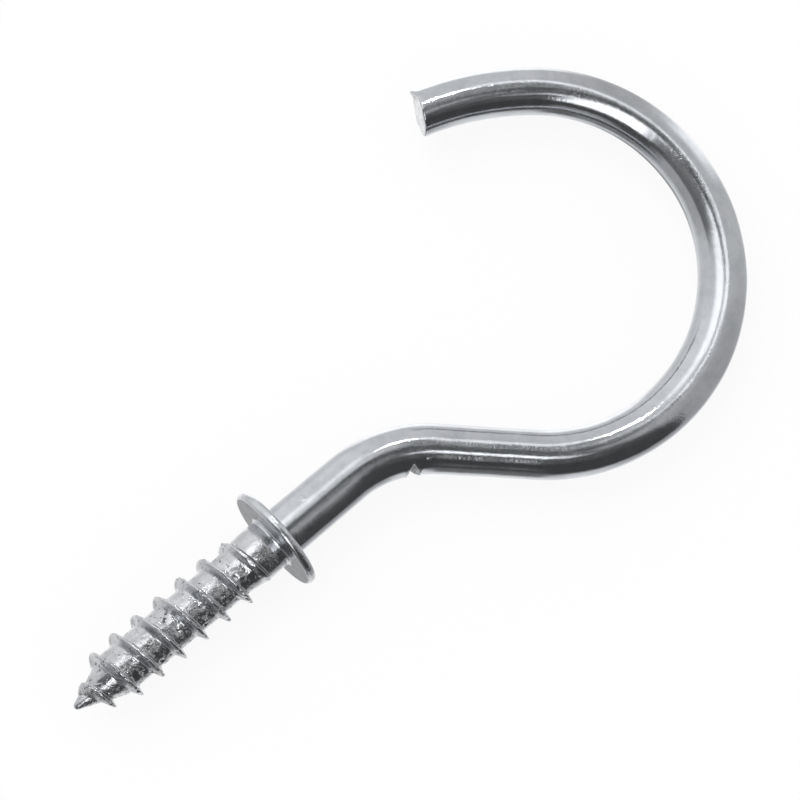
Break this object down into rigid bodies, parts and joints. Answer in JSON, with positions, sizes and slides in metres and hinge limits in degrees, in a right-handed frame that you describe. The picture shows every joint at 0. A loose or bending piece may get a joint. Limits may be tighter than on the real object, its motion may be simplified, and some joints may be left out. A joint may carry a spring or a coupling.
{
  "type": "cup hook",
  "caption": "Shouldered cup hook bent from one steel wire: wood-screw thread, round collar, straight shank and an open round bow.",
  "frame": {"origin": "centre of the collar's flat seat, on the screw's axis", "axes": "-X along the screw to its tip, +X through the collar to the bow, the wire is bent in the XY plane with the free end on the +Y side, +Z square to the bow's plane and up as it lies"},
  "size_m": [0.0651, 0.0332, 0.0086],
  "materials": {
    "bright_zinc": "bright zinc plate on steel wire, smooth with fine marks"
  },
  "bodies": {
    "root": {"cup_hook": "bright_zinc"}
  },
  "joints": []
}
